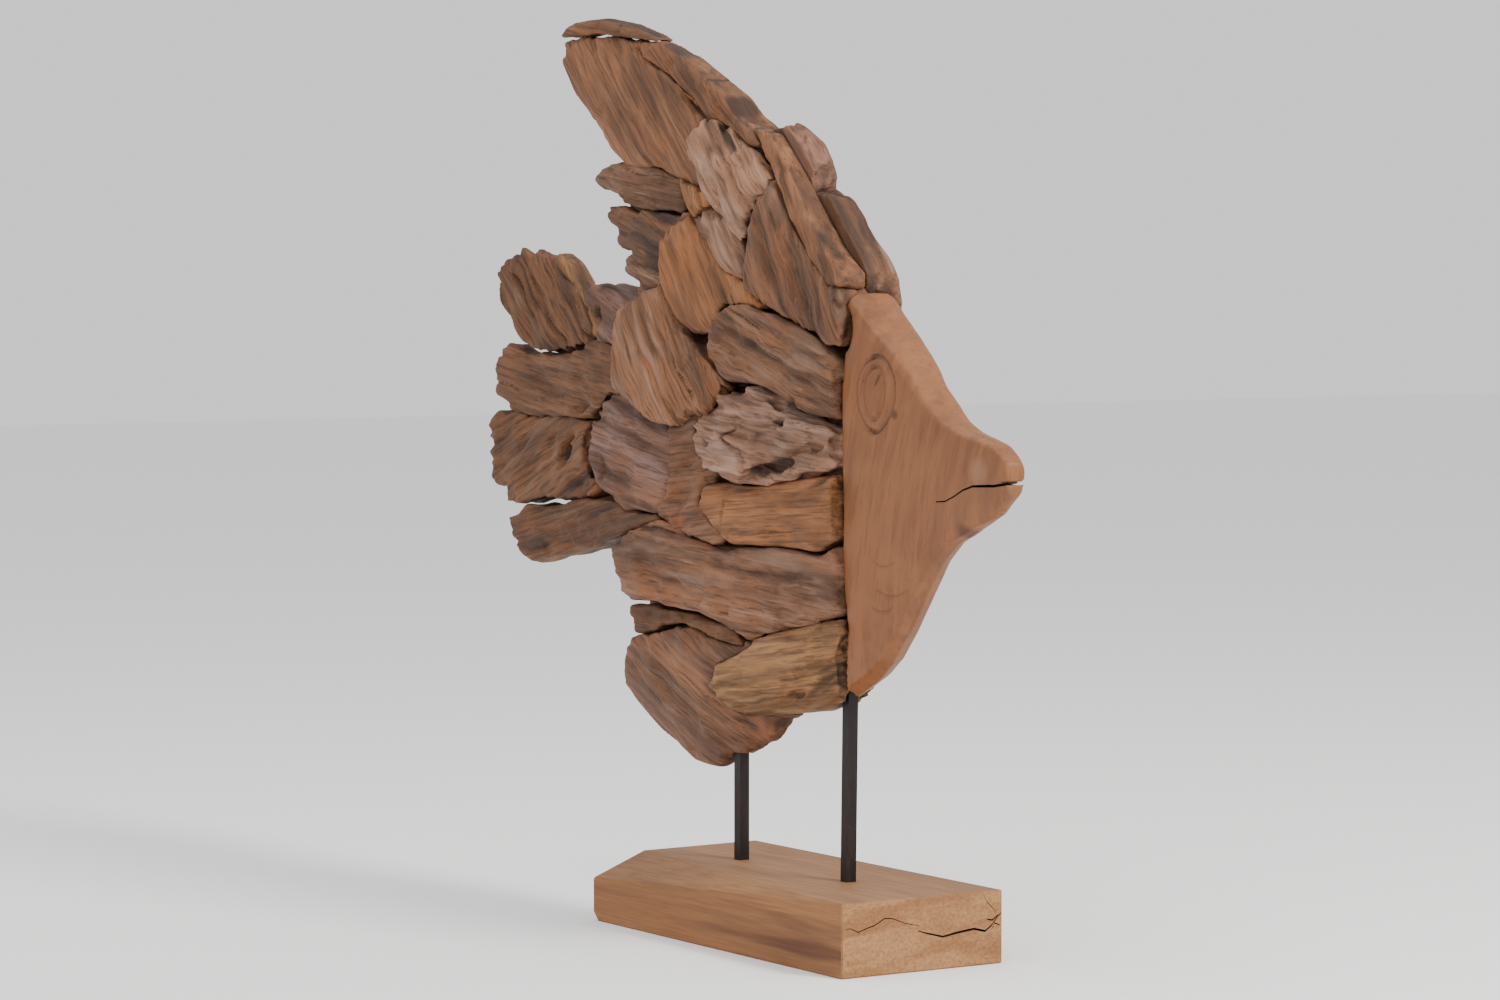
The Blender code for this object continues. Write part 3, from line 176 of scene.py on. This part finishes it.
def noise(x, y, z, seed):
    """Smooth noise from about -1 to 1, with features about one unit wide."""
    ix, iy, iz = (np.floor(c).astype(np.int64) for c in (x, y, z))
    fx, fy, fz = x - ix, y - iy, z - iz
    fx, fy, fz = (f * f * f * (f * (f * 6 - 15) + 10) for f in (fx, fy, fz))
    total = np.zeros_like(x)
    for dx in (0, 1):
        wx = fx if dx else 1 - fx
        for dy in (0, 1):
            wy = fy if dy else 1 - fy
            for dz in (0, 1):
                wz = fz if dz else 1 - fz
                total += wx * wy * wz * lattice(ix + dx, iy + dy, iz + dz, seed)
    return total


def ramp(value, low, high):
    t = np.clip((value - low) / (high - low), 0.0, 1.0)
    return t * t * (3 - 2 * t)


# ---- Mesh helpers --------------------------------------------------------

def fish_point(share_x, share_z):
    return share_x / 100 * FISH_LENGTH, FISH_BOTTOM + share_z / 100 * FISH_HEIGHT


def coordinates(mesh):
    values = np.empty(len(mesh.vertices) * 3)
    mesh.vertices.foreach_get("co", values)
    return values.reshape(-1, 3)


def vertex_normals(mesh):
    values = np.empty(len(mesh.vertices) * 3)
    mesh.vertex_normals.foreach_get("vector", values)
    return values.reshape(-1, 3)


def fine_copy(node, name, voxel, smooth):
    """A new object with the node's form in small even faces, its facets smoothed away."""
    mesh = node.data.copy()
    mesh.materials.clear()
    obj = bpy.data.objects.new(name, mesh)
    bpy.context.scene.collection.objects.link(obj)
    bm = bmesh.new()
    bm.from_mesh(mesh)
    bmesh.ops.remove_doubles(bm, verts=bm.verts, dist=0.00001)
    bm.to_mesh(mesh)
    bm.free()
    remesh = obj.modifiers.new("Even faces", "REMESH")
    remesh.mode = "VOXEL"
    remesh.voxel_size = voxel
    if smooth:
        soften = obj.modifiers.new("Worn", "SMOOTH")
        soften.factor = 0.5
        soften.iterations = smooth
    shape = obj.evaluated_get(bpy.context.evaluated_depsgraph_get())
    even = bpy.data.meshes.new_from_object(shape)
    obj.modifiers.clear()
    obj.data = even
    bpy.data.meshes.remove(mesh)
    even.shade_smooth()
    return obj


def store(mesh, name, values):
    attribute = mesh.attributes.new(name, "FLOAT", "POINT")
    attribute.data.foreach_set("value", values.astype(np.float32))


def hollow_field(x, z, hollows):
    """How deep the hollows are at each point."""
    depth = np.zeros_like(x)
    for share_x, share_z, length, width, deep, angle in hollows:
        cx, cz = fish_point(share_x, share_z)
        c, s = math.cos(math.radians(angle)), math.sin(math.radians(angle))
        a = ((x - cx) * c + (z - cz) * s) / (length / 2)
        b = (-(x - cx) * s + (z - cz) * c) / (width / 2)
        wobble = 0.22 * noise(x / 0.012, z / 0.012, np.zeros_like(x), 77)
        reach = 1.0 - (a * a + b * b) + wobble
        depth = np.maximum(depth, deep * ramp(reach, 0.0, 0.75))
    return depth


def weather(obj, look, seed, hollows=()):
    """Carve grain, pits, cracks and frayed ends into the piece, and store how deep each point is, with painted shade
    added on the edge faces where the pieces meet.
    """
    mesh = obj.data
    place = coordinates(mesh)
    normal = vertex_normals(mesh)
    x, y, z = place.T
    c, s = math.cos(look.grain), math.sin(look.grain)
    u = x * c + z * s
    v = -x * s + z * c
    bend = 0.006 * noise(u / 0.07, v / 0.06, y / 0.06, seed) + 0.002 * noise(u / 0.03, v / 0.03, y / 0.03, seed + 1)
    w = v + bend
    shown = ramp(np.abs(y), 0.002, 0.007)

    ridges = 1.0 - 2.2 * np.abs(noise(u / 0.16, w / look.pitch, y / 0.020, seed + 2))
    fine = noise(u / 0.06, w / 0.0042, y / 0.008, seed + 3)
    swell = noise(u / 0.12, w / 0.030, y / 0.05, seed + 4)
    gouges = ramp(noise(u / 0.045, w / 0.0065, y / 0.010, seed + 5), 0.25, 0.8)
    split = np.abs(noise(u / 0.20, w / 0.018, y / 0.05, seed + 6))
    where = ramp(noise(u / 0.07, w / 0.03, y / 0.05, seed + 7), 0.0, 0.4)
    crack = (1.0 - ramp(split, 0.0, 0.10)) * where

    height = look.ridge * (0.8 * ridges + 0.45 * fine + 1.2 * swell)
    height -= look.pit * 1.6 * gouges + look.crack * crack
    side = np.abs(normal[:, 1])
    hollow = hollow_field(x, z, hollows) * ramp(-y, 0.002, 0.010) * ramp(side, 0.2, 0.6)
    moved = place + normal * ((height * shown - hollow)[:, None])

    ragged = noise(u / 0.030, w / 0.009, y / 0.012, seed + 8) + 0.6 * noise(u / 0.02, w / 0.004, y / 0.006, seed + 9)
    wavy = noise(u / 0.026, w / 0.020, y / 0.020, seed + 10)
    moved[:, 0] += look.fray * (ragged * c - 0.4 * wavy * s)
    moved[:, 2] += look.fray * (ragged * s + 0.4 * wavy * c)
    mesh.vertices.foreach_set("co", moved.ravel())

    low = 0.5 - 0.5 * np.clip((0.8 * ridges + 0.6 * fine + 0.4 * swell) / 1.4, -1.0, 1.0)
    rough = min(1.0, look.ridge / 0.0024)
    depth = 0.5 + (low - 0.5) * (0.45 + 0.55 * rough)
    depth = np.clip(depth + 0.55 * crack * min(1.0, look.crack / 0.002) + 0.15 * gouges, 0.0, 1.4)
    # Painted shade: edge faces near the fish's middle, where the pieces meet, count as deeper so that their colour
    # darkens.
    shade_between_pieces = (1.0 - ramp(side, 0.15, 0.75)) * (1.0 - ramp(np.abs(y), 0.020, 0.036))
    depth = np.maximum(depth + 0.30 * shade_between_pieces, np.clip(hollow / 0.011, 0.0, 1.0))
    # The stored depth darkens the colour in the grain's valleys, cracks, pits, hollows and between the pieces:
    # painted shade.
    store(mesh, "depth", depth)
    mesh.update()


# ---- Wood ----------------------------------------------------------------

class Nodes:
    """Short calls for a material's node tree."""

    def __init__(self, name):
        self.material = bpy.data.materials.new(name)
        self.material.use_nodes = True
        self.tree = self.material.node_tree
        self.shader = self.tree.nodes["Principled BSDF"]

    def add(self, kind, **values):
        node = self.tree.nodes.new(kind)
        for key, value in values.items():
            setattr(node, key, value)
        return node

    def link(self, start, end):
        self.tree.links.new(start, end)

    def place(self, scale, angle):
        """Object coordinates turned so that X runs along the grain, then scaled."""
        source = self.add("ShaderNodeTexCoord")
        turn = self.add("ShaderNodeMapping", vector_type="POINT")
        turn.inputs["Rotation"].default_value = (0.0, angle, 0.0)
        size = self.add("ShaderNodeMapping", vector_type="POINT")
        size.inputs["Scale"].default_value = scale
        self.link(source.outputs["Object"], turn.inputs["Vector"])
        self.link(turn.outputs["Vector"], size.inputs["Vector"])
        return size.outputs["Vector"]

    def noise(self, scale, angle, detail=4.0, rough=0.55, distortion=0.0, shift=0.0):
        node = self.add("ShaderNodeTexNoise", noise_dimensions="4D")
        self.link(self.place(scale, angle), node.inputs["Vector"])
        node.inputs["W"].default_value = shift
        node.inputs["Scale"].default_value = 1.0
        node.inputs["Detail"].default_value = detail
        node.inputs["Roughness"].default_value = rough
        node.inputs["Distortion"].default_value = distortion
        return node.outputs["Fac"]

    def between(self, value, low, high, to_low=0.0, to_high=1.0):
        node = self.add("ShaderNodeMapRange", interpolation_type="SMOOTHSTEP")
        self.link(value, node.inputs["Value"])
        for key, number in zip(("From Min", "From Max", "To Min", "To Max"), (low, high, to_low, to_high)):
            node.inputs[key].default_value = number
        return node.outputs["Result"]

    def math(self, operation, a, b):
        node = self.add("ShaderNodeMath", operation=operation)
        for socket, value in zip(node.inputs, (a, b)):
            if isinstance(value, (int, float)):
                socket.default_value = value
            else:
                self.link(value, socket)
        return node.outputs["Value"]

    def mix(self, factor, a, b, blend="MIX"):
        node = self.add("ShaderNodeMix", data_type="RGBA", blend_type=blend)
        for socket, value in zip((node.inputs["Factor"], node.inputs[6], node.inputs[7]), (factor, a, b)):
            if isinstance(value, (int, float, list, tuple)):
                socket.default_value = value
            else:
                self.link(value, socket)
        return node.outputs[2]

    def attribute(self, name):
        node = self.add("ShaderNodeAttribute", attribute_type="GEOMETRY", attribute_name=name)
        return node.outputs["Fac"]

    def bump(self, height, distance, strength, previous=None):
        node = self.add("ShaderNodeBump")
        node.inputs["Strength"].default_value = strength
        node.inputs["Distance"].default_value = distance
        self.link(height, node.inputs["Height"])
        if previous:
            self.link(previous, node.inputs["Normal"])
        return node.outputs["Normal"]


def wood(name, look, seed):
    """Driftwood: fibres and streaks along the grain, fresh and weathered patches, and painted shade in the cracks,
    the grain's valleys, the hollows and between the pieces.
    """
    middle, fresh, weathered = (linear(rgb) for rgb in TONES[look.tone])
    n = Nodes(name)
    shift = seed * 1.7
    fibre = n.noise((14, 190, 420), look.grain, 4, 0.65, 0.1, shift)
    streak = n.noise((6, 60, 110), look.grain, 5, 0.65, 0.5, shift + 3)
    broad = n.noise((4, 16, 24), look.grain, 4, 0.6, 0.8, shift + 5)
    patch = n.noise((8, 15, 16), look.grain, 5, 0.6, 1.0, shift + 7)
    other = n.noise((7, 17, 20), look.grain, 6, 0.65, 0.8, shift + 11)
    speck = n.noise((90, 240, 400), look.grain, 2, 0.5, 0.0, shift + 9)
    depth = n.attribute("depth")

    colour = n.mix(n.between(broad, 0.32, 0.68), scaled(middle, 0.52), scaled(middle, 1.45))
    colour = n.mix(n.between(patch, 0.62 - 0.22 * look.fresh, 0.80 - 0.22 * look.fresh, 0.0, 0.75), colour, fresh)
    raised = n.math("MULTIPLY", n.between(other, 0.62 - 0.24 * look.grey, 0.76 - 0.24 * look.grey),
                    n.between(depth, 0.90, 0.35))
    colour = n.mix(n.math("MULTIPLY", raised, 0.75), colour, weathered)
    colour = n.mix(n.between(streak, 0.52, 0.32, 0.0, 0.85), colour, scaled(middle, 0.30))
    colour = n.mix(n.between(streak, 0.54, 0.70, 0.0, 0.6), colour, scaled(weathered, 1.45))
    colour = n.mix(n.between(fibre, 0.52, 0.36, 0.0, 0.7), colour, scaled(middle, 0.25))
    colour = n.mix(n.between(speck, 0.68, 0.76, 0.0, 0.5), colour, scaled(middle, 0.2))
    colour = n.mix(n.between(depth, 0.42, 0.0, 0.0, 0.4), colour, scaled(weathered, 1.5))
    # Painted shade: dark brown where the stored depth is high, in the valleys, cracks, pits, hollows and between the
    # pieces.
    colour = n.mix(n.between(depth, 0.50, 1.10, 0.0, 0.90), colour, linear((42, 26, 19)))
    n.link(colour, n.shader.inputs["Base Color"])
    n.link(n.between(streak, 0.2, 0.8, 0.60, 0.84), n.shader.inputs["Roughness"])
    n.shader.inputs["Specular IOR Level"].default_value = 0.35
    lines = n.bump(fibre, 0.0018, 0.7)
    n.link(n.bump(streak, 0.0030, 0.6, lines), n.shader.inputs["Normal"])
    return n.material


def wooden_pieces(nodes):
    for seed, (name, look) in enumerate(LOOKS.items()):
        piece = fine_copy(nodes[name], name + "_weathered", VOXEL, look.smooth)
        weather(piece, look, 11 + seed * 17, HOLLOWS.get(name, ()))
        piece.data.materials.append(wood(name + "_wood", look, seed + 1))
        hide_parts(name)
        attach(piece, "root")


# ---- The head ------------------------------------------------------------

EYE = (0.1640, 0.5030)     # the eye's centre in the side view
EYE_HALVES = (0.0235, 0.0310)
LID_HALVES = (0.0128, 0.0225)
LINE_WIDTH = 0.0022
# Curved chisel marks on the cheek: centre and radius of each arc
CHEEK_MARKS = ((0.172, 0.372, 0.020), (0.178, 0.352, 0.026), (0.166, 0.330, 0.018))


def oval(x, z, halves, point=0.0):
    """Distance from an oval line round the eye, roughly in metres; point draws out its foot."""
    ex, ez = x - EYE[0], z - EYE[1]
    angle = np.arctan2(ez / halves[1], ex / halves[0])
    stretch = 1.0 + point * np.maximum(0.0, -np.sin(angle)) ** 6
    return (np.hypot(ex / halves[0], ez / halves[1]) / stretch - 1.0) * min(halves)


def carve_head(obj):
    """The sanded head: faint tool facets, the eye's rings and slit, and marks on the cheek, with painted shade
    stored for the carved lines.
    """
    mesh = obj.data
    place = coordinates(mesh)
    normal = vertex_normals(mesh)
    x, y, z = place.T
    side = ramp(np.abs(normal[:, 1]), 0.45, 0.75)
    tool = noise(x / 0.040, z / 0.050, np.sign(y) * 3.0, 5)
    height = 0.0014 * tool + 0.0005 * noise(x / 0.015, y / 0.02, z / 0.05, 6)

    rim = oval(x, z, EYE_HALVES, 0.12)
    lid = oval(x, z, LID_HALVES, 0.05)
    rim_line = 1.0 - ramp(np.abs(rim), 0.0003, LINE_WIDTH)
    lid_line = 1.0 - ramp(np.abs(lid), 0.0003, LINE_WIDTH)
    swollen = ramp(-rim, 0.0, 0.006) * ramp(lid, -0.001, 0.004)
    ball = np.sqrt(np.clip(-lid / LID_HALVES[0], 0.0, 1.0))
    ex, ez = x - EYE[0], z - EYE[1]
    pupil = 1.0 - ramp(np.abs(ex - 0.0035 - 0.22 * (ez - 0.010)), 0.0004, 0.0022)
    pupil *= ramp(0.0065 - np.abs(ez - 0.010), 0.0, 0.003)
    height += side * (0.0012 * swollen + 0.0016 * ball - 0.0020 * rim_line - 0.0014 * lid_line - 0.0016 * pupil)
    # Painted shade in the eye's carved rings and slit, stored as the head's depth.
    line_shade = side * np.maximum.reduce([0.75 * rim_line, 0.45 * lid_line, 0.9 * pupil])
    for cx, cz, radius in CHEEK_MARKS:
        ax, az = x - cx, z - cz
        line = 1.0 - ramp(np.abs(np.hypot(ax, az) - radius), 0.0002, 0.0020)
        mark = line * ramp(-az / radius, 0.55, 0.9) * side
        height -= 0.0012 * mark
        # Painted shade in the cheek marks as well.
        line_shade = np.maximum(line_shade, 0.5 * mark)
    mesh.vertices.foreach_set("co", (place + normal * height[:, None]).ravel())
    store(mesh, "depth", line_shade)
    store(mesh, "ball", side * ramp(-lid, 0.0, 0.004))
    mesh.update()


def head_wood():
    """Sanded wood with a soft figure, knots, and painted shade in the carved lines."""
    n = Nodes("head_wood")
    middle, fresh, weathered = (linear(rgb) for rgb in TONES["head"])
    angle = math.radians(76)
    figure = n.noise((5, 22, 34), angle, 5, 0.6, 1.2, 2.0)
    cloud = n.noise((11, 11, 11), angle, 5, 0.55, 0.6, 6.0)
    fibre = n.noise((26, 220, 300), angle, 3, 0.6, 0.1, 8.0)
    depth = n.attribute("depth")
    colour = n.mix(n.between(figure, 0.34, 0.66), scaled(middle, 0.78), scaled(middle, 1.22))
    colour = n.mix(n.between(cloud, 0.42, 0.68, 0.0, 0.7), colour, weathered)
    colour = n.mix(n.between(fibre, 0.5, 0.34, 0.0, 0.35), colour, scaled(middle, 0.5))
    colour = n.mix(n.math("MULTIPLY", n.attribute("ball"), 0.45), colour, scaled(fresh, 0.75))
    for cx, cz, size in ((0.189, 0.484, 0.006), (0.272, 0.384, 0.013)):
        colour = n.mix(knot(n, cx, cz, size), colour, linear((70, 40, 26)))
    pale = n.math("MULTIPLY", knot(n, 0.298, 0.439, 0.016), 0.45)
    colour = n.mix(pale, colour, linear((158, 116, 90)))
    # Painted shade: dark brown in the carved lines and cheek marks.
    colour = n.mix(n.between(depth, 0.1, 1.0, 0.0, 0.8), colour, linear((62, 38, 24)))
    n.link(colour, n.shader.inputs["Base Color"])
    n.link(n.between(cloud, 0.3, 0.7, 0.46, 0.60), n.shader.inputs["Roughness"])
    n.shader.inputs["Specular IOR Level"].default_value = 0.4
    n.link(n.bump(fibre, 0.0006, 0.35), n.shader.inputs["Normal"])
    return n.material


def knot(n, cx, cz, size):
    """1 at a knot's centre in the side view, fading to 0 at its edge."""
    source = n.add("ShaderNodeTexCoord")
    shift = n.add("ShaderNodeMapping", vector_type="POINT")
    shift.inputs["Location"].default_value = (-cx, 0.0, -cz)
    flat = n.add("ShaderNodeVectorMath", operation="MULTIPLY")
    flat.inputs[1].default_value = (1.0, 0.0, 1.0)
    length = n.add("ShaderNodeVectorMath", operation="LENGTH")
    n.link(source.outputs["Object"], shift.inputs["Vector"])
    n.link(shift.outputs["Vector"], flat.inputs[0])
    n.link(flat.outputs["Vector"], length.inputs[0])
    return n.between(length.outputs["Value"], size, 0.3 * size, 0.0, 0.8)


# The mouth's saw cut, from the lips back: places along and up the side view
MOUTH = ((0.345, 0.4305), (0.333, 0.4300), (0.318, 0.4275), (0.302, 0.4268), (0.290, 0.4262),
         (0.278, 0.4225), (0.266, 0.4165), (0.254, 0.4120), (0.242, 0.4110))


def mouth_cutter(start, end):
    """A thin blade in one side of the head, which follows the mouth and narrows toward its corner."""
    bm = bmesh.new()
    rings = []
    for i, (x, z) in enumerate(MOUTH):
        half = 0.5 * MOUTH_WIDTH * (1.1 - 0.75 * i / (len(MOUTH) - 1))
        rings.append([bm.verts.new((x, y, z + dz)) for y, dz in
                      ((start, half), (start, -half), (end, -half), (end, half))])
    for ring, following in zip(rings, rings[1:]):
        for i in range(4):
            j = (i + 1) % 4
            bm.faces.new((ring[i], ring[j], following[j], following[i]))
    bm.faces.new(rings[0])
    bm.faces.new(rings[-1])
    bmesh.ops.recalc_face_normals(bm, faces=bm.faces)
    mesh = bpy.data.meshes.new("mouth")
    bm.to_mesh(mesh)
    bm.free()
    obj = bpy.data.objects.new("mouth", mesh)
    bpy.context.scene.collection.objects.link(obj)
    return obj


def cut_out(piece, cutters, material):
    """Take the cutters away from the piece, with their own material on the new walls."""
    for cutter in cutters:
        cutter.data.materials.append(material)
        cut = piece.modifiers.new("Cut", "BOOLEAN")
        cut.operation = "DIFFERENCE"
        cut.solver = "EXACT"
        cut.material_mode = "TRANSFER"
        cut.object = cutter
    shape = piece.evaluated_get(bpy.context.evaluated_depsgraph_get())
    whole = piece.data
    piece.data = bpy.data.meshes.new_from_object(shape)
    piece.modifiers.clear()
    bpy.data.meshes.remove(whole)
    for cutter in cutters:
        bpy.data.objects.remove(cutter, do_unlink=True)


def dark_wood(name):
    """The shaded walls of a crack or a saw cut."""
    n = Nodes(name)
    n.shader.inputs["Base Color"].default_value = linear((50, 31, 22))
    n.shader.inputs["Roughness"].default_value = 0.9
    return n.material


def head(nodes):
    piece = fine_copy(nodes["head"], "head_carved", HEAD_VOXEL, 3)
    carve_head(piece)
    piece.data.materials.append(head_wood())
    blades = [mouth_cutter(-HEAD_REACH, -MOUTH_WEB), mouth_cutter(MOUTH_WEB, HEAD_REACH)]
    cut_out(piece, blades, dark_wood("mouth_wood"))
    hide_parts("head")
    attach(piece, "root")


# ---- The stand -----------------------------------------------------------

# The crack in the block's front end: each branch as shares across and up the face.
CRACKS = (
    (0.0013, ((0.02, 0.66), (0.05, 0.67), (0.10, 0.61), (0.15, 0.65), (0.20, 0.68), (0.26, 0.76),
              (0.31, 0.75), (0.39, 0.67), (0.475, 0.62))),
    (0.0026, ((0.47, 0.55), (0.52, 0.51), (0.625, 0.44), (0.71, 0.475), (0.82, 0.505), (0.89, 0.46),
              (0.93, 0.53), (0.97, 0.65), (1.01, 0.72))),
    (0.0012, ((0.88, 0.96), (0.90, 0.86), (0.945, 0.745), (0.955, 0.70))),
    (0.0018, ((0.90, 0.62), (0.935, 0.60), (0.97, 0.66))),
    (0.0016, ((0.93, 0.47), (0.95, 0.56), (0.985, 0.52))),
)
CRACK_DEPTH = 0.009
MOUTH_WIDTH = 0.0026
MOUTH_WEB = 0.0012
HEAD_REACH = 0.1


def crack_cutter(path, width, front, near, span):
    """A wedge that narrows inward from the end face, along the crack's path."""
    bm = bmesh.new()
    rings = []
    for i, (across, up) in enumerate(path):
        taper = 0.35 + 0.65 * math.sin(math.pi * (i + 0.6) / (len(path) + 0.2))
        y = near + across * span
        z = up * BASE_HEIGHT
        half = 0.5 * width * taper
        rings.append([bm.verts.new((front + 0.002, y, z + half)),
                      bm.verts.new((front + 0.002, y, z - half)),
                      bm.verts.new((front - CRACK_DEPTH * taper, y, z))])
    for ring, following in zip(rings, rings[1:]):
        for i in range(3):
            j = (i + 1) % 3
            bm.faces.new((ring[i], ring[j], following[j], following[i]))
    bm.faces.new(rings[0])
    bm.faces.new(rings[-1])
    bmesh.ops.recalc_face_normals(bm, faces=bm.faces)
    mesh = bpy.data.meshes.new("crack")
    bm.to_mesh(mesh)
    bm.free()
    obj = bpy.data.objects.new("crack", mesh)
    bpy.context.scene.collection.objects.link(obj)
    return obj


def base(nodes):
    """The block, cracked at its front end."""
    low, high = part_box("base")
    mesh = nodes["base"].data.copy()
    mesh.materials.clear()
    mesh.materials.append(block_wood())
    piece = bpy.data.objects.new("base_sawn", mesh)
    bpy.context.scene.collection.objects.link(piece)
    bm = bmesh.new()
    bm.from_mesh(mesh)
    bmesh.ops.remove_doubles(bm, verts=bm.verts, dist=0.00001)
    bm.to_mesh(mesh)
    bm.free()
    cutters = [crack_cutter(path, width, high.x, low.y, high.y - low.y) for width, path in CRACKS]
    cut_out(piece, cutters, dark_wood("crack_wood"))
    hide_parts("base")
    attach(piece, "root")


def block_wood():
    """The sawn block: long streaks on its sides and top, and a pale cross-cut front end; painted light makes the top
    a lighter copy of the streaked colour.
    """
    n = Nodes("block_wood")
    grain = n.noise((3.0, 60, 80), 0.0, 5, 0.6, 0.5, 1.0)
    bands = n.noise((2.0, 14, 34), 0.0, 3, 0.5, 0.5, 4.3)
    fibre = n.noise((16, 260, 420), 0.0, 3, 0.6, 0.1, 7.0)
    cloud = n.noise((9, 12, 12), 0.0, 4, 0.5, 0.5, 9.0)
    geometry = n.add("ShaderNodeNewGeometry")
    split = n.add("ShaderNodeSeparateXYZ")
    n.link(geometry.outputs["True Normal"], split.inputs["Vector"])
    top = n.between(split.outputs["Z"], 0.5, 0.9)
    end = n.between(split.outputs["X"], 0.5, 0.9)

    colour = n.mix(n.between(grain, 0.3, 0.7), linear((122, 80, 48)), linear((152, 106, 68)))
    colour = n.mix(n.between(cloud, 0.4, 0.7, 0.0, 0.6), colour, linear((136, 90, 54)))
    dark_band = n.math("MULTIPLY", n.between(bands, 0.53, 0.66), n.between(top, 1.0, 0.0))
    colour = n.mix(n.math("MULTIPLY", dark_band, 0.85), colour, linear((84, 48, 32)))
    # Painted light: the top gets a lighter copy of the sides' streaked colour, and the dark bands stay on the sides.
    soft = n.mix(n.between(grain, 0.3, 0.7), linear((130, 92, 62)), linear((152, 112, 78)))
    colour = n.mix(n.math("MULTIPLY", top, 0.85), colour, soft)
    pores = n.noise((160, 300, 300), 0.0, 4, 0.6, 0.0, 12.0)
    rings = n.noise((10, 14, 60), math.radians(0), 4, 0.6, 0.8, 15.0)
    cross_cut = n.mix(n.between(rings, 0.35, 0.65), linear((142, 98, 62)), linear((168, 124, 82)))
    cross_cut = n.mix(n.between(pores, 0.55, 0.38, 0.0, 0.35), cross_cut, linear((112, 72, 44)))
    colour = n.mix(end, colour, cross_cut)
    colour = n.mix(n.between(fibre, 0.32, 0.6, 0.3, 0.0), colour, linear((76, 46, 30)))
    n.link(colour, n.shader.inputs["Base Color"])
    n.link(n.between(grain, 0.3, 0.7, 0.6, 0.78), n.shader.inputs["Roughness"])
    n.shader.inputs["Specular IOR Level"].default_value = 0.3
    n.link(n.bump(fibre, 0.0008, 0.35), n.shader.inputs["Normal"])
    return n.material


def steel():
    """Old blackened steel with brown dust on it."""
    n = Nodes("blackened_steel")
    dust = n.noise((60, 60, 24), 0.0, 5, 0.6, 0.4, 3.0)
    scale = n.noise((420, 420, 260), 0.0, 3, 0.6, 0.0, 5.0)
    colour = n.mix(n.between(dust, 0.42, 0.72), linear((30, 24, 24)), linear((58, 42, 38)))
    n.link(colour, n.shader.inputs["Base Color"])
    n.shader.inputs["Metallic"].default_value = 0.55
    n.link(n.between(dust, 0.3, 0.7, 0.42, 0.68), n.shader.inputs["Roughness"])
    n.link(n.bump(scale, 0.0005, 0.4), n.shader.inputs["Normal"])
    return n.material


def rods(nodes):
    material = steel()
    for name in ("front_rod", "rear_rod"):
        for slot in nodes[name].material_slots:
            slot.material = material


# ---- Floor, light and camera ---------------------------------------------

def floor():
    bm = bmesh.new()
    bmesh.ops.create_grid(bm, x_segments=1, y_segments=1, size=12.0)
    mesh = bpy.data.meshes.new("floor")
    bm.to_mesh(mesh)
    bm.free()
    obj = bpy.data.objects.new("floor", mesh)
    bpy.context.scene.collection.objects.link(obj)
    n = Nodes("floor_white")
    n.shader.inputs["Base Color"].default_value = (0.92, 0.92, 0.92, 1.0)
    n.shader.inputs["Roughness"].default_value = 0.9
    mesh.materials.append(n.material)


def area_light(name, place, aim, power, size, colour=(1.0, 1.0, 1.0)):
    light = bpy.data.lights.new(name, "AREA")
    light.energy = power
    light.size = size
    light.color = colour
    obj = bpy.data.objects.new(name, light)
    obj.location = place
    obj.rotation_euler = (Vector(aim) - Vector(place)).to_track_quat("-Z", "Y").to_euler()
    bpy.context.scene.collection.objects.link(obj)


def lights():
    world = bpy.data.worlds.new("studio")
    world.use_nodes = True
    background = world.node_tree.nodes["Background"]
    background.inputs["Color"].default_value = (1.0, 1.0, 1.0, 1.0)
    background.inputs["Strength"].default_value = 1.0
    bpy.context.scene.world = world
    middle = (-0.05, 0.0, 0.45)
    area_light("key", (2.6, 0.9, 2.6), middle, 130.0, 0.9, (1.0, 0.97, 0.92))
    area_light("fill", (1.4, -3.2, 1.4), middle, 22.0, 2.2)
    area_light("top", (-0.4, -0.6, 3.0), middle, 22.0, 1.6)


def camera():
    data = bpy.data.cameras.new("camera")
    data.lens = CAMERA_LENS
    data.sensor_width = 36.0
    data.shift_x = CAMERA_SHIFT
    obj = bpy.data.objects.new("camera", data)
    obj.location = CAMERA_PLACE
    obj.rotation_euler = (math.pi / 2 - CAMERA_TILT, 0.0, CAMERA_TURN)
    bpy.context.scene.collection.objects.link(obj)
    bpy.context.scene.camera = obj


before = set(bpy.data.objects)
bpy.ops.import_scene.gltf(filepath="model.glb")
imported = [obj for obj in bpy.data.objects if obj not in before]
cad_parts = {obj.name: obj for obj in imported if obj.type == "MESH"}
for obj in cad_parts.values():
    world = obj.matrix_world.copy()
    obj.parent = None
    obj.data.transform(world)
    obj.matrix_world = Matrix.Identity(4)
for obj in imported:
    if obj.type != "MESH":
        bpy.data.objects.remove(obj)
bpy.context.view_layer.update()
wooden_pieces(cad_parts)
head(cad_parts)
base(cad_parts)
rods(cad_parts)
floor()
lights()
camera()
